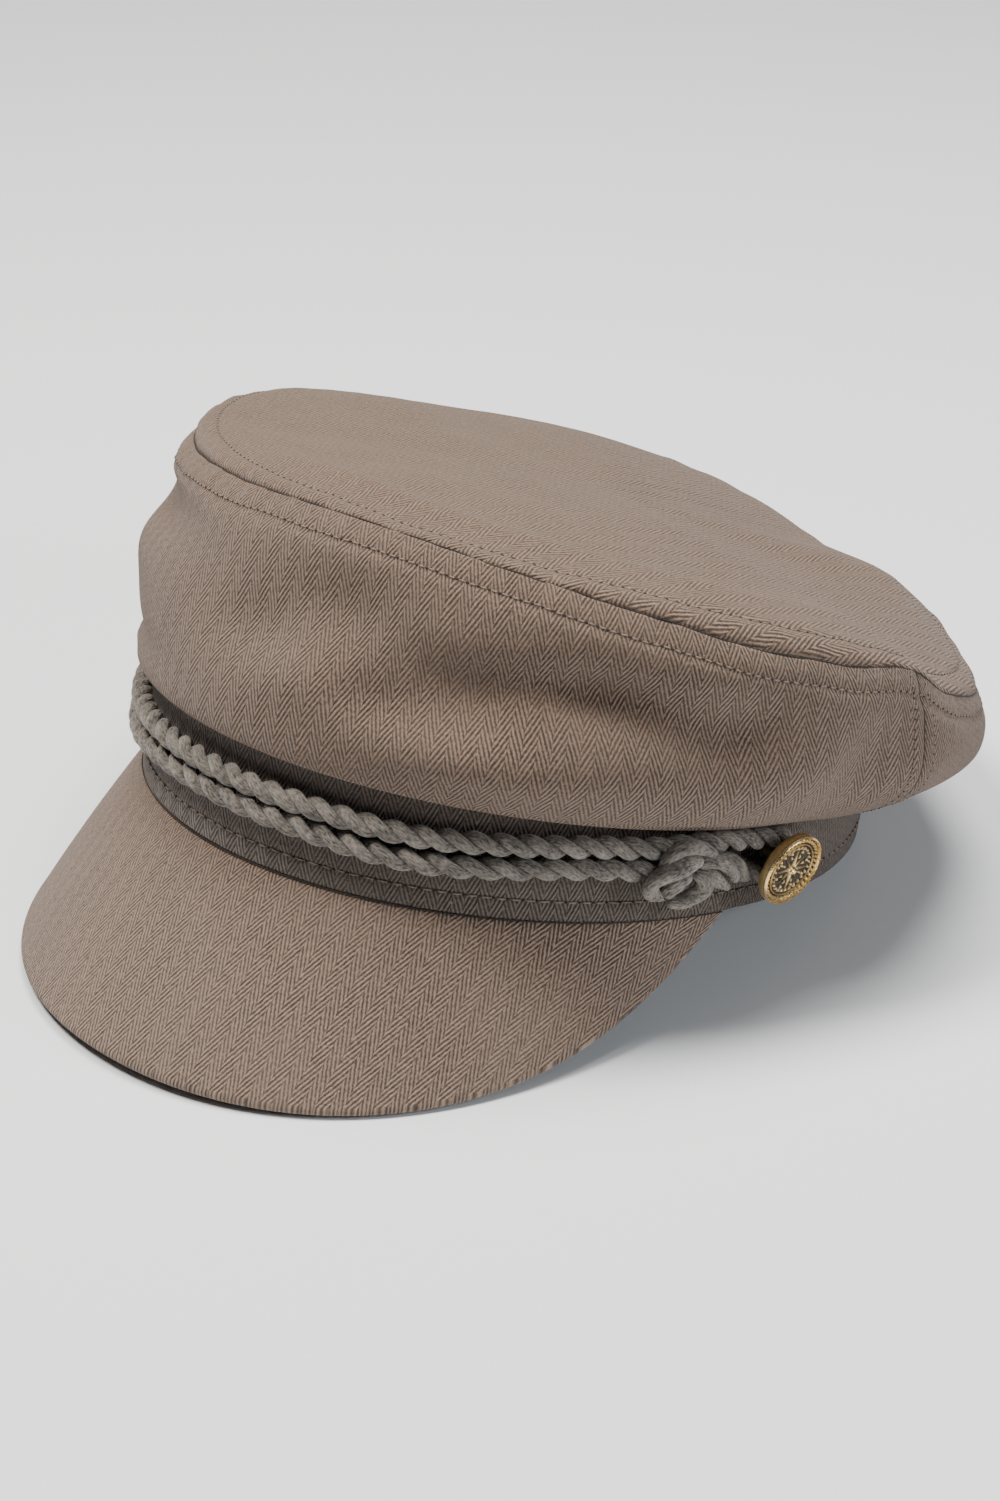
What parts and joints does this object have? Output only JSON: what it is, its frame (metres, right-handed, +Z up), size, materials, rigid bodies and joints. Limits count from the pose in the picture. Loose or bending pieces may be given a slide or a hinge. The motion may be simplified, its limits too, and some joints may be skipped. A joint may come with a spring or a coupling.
{
  "type": "fisherman cap",
  "caption": "Soft fisherman cap with a puffed oval crown over a plain band, a downturned cloth peak, and twisted cords knotted beside metal buttons.",
  "frame": {"origin": "on the surface that the cap rests on, under the centre of its box", "axes": "+Z up; the wearer faces -Y, so the peak points to -Y; the wearer's left is +X"},
  "size_m": [0.2182, 0.265, 0.1242],
  "materials": {
    "crown_cloth": "matt herringbone cotton twill, taupe",
    "band_cloth": "matt herringbone cotton twill, taupe",
    "peak_cloth": "matt herringbone cotton twill, taupe",
    "cord_yarn": "soft grey twisted cotton cord",
    "button_metal": "antique gold, dark in its hollows"
  },
  "bodies": {
    "root": {"crown_top": "crown_cloth", "crown_front": "crown_cloth", "crown_back": "crown_cloth", "band": "band_cloth", "peak": "peak_cloth", "cord_upper": "cord_yarn", "cord_lower": "cord_yarn", "knot_left": "cord_yarn", "knot_right": "cord_yarn", "button_left": "button_metal", "button_right": "button_metal"}
  },
  "joints": []
}
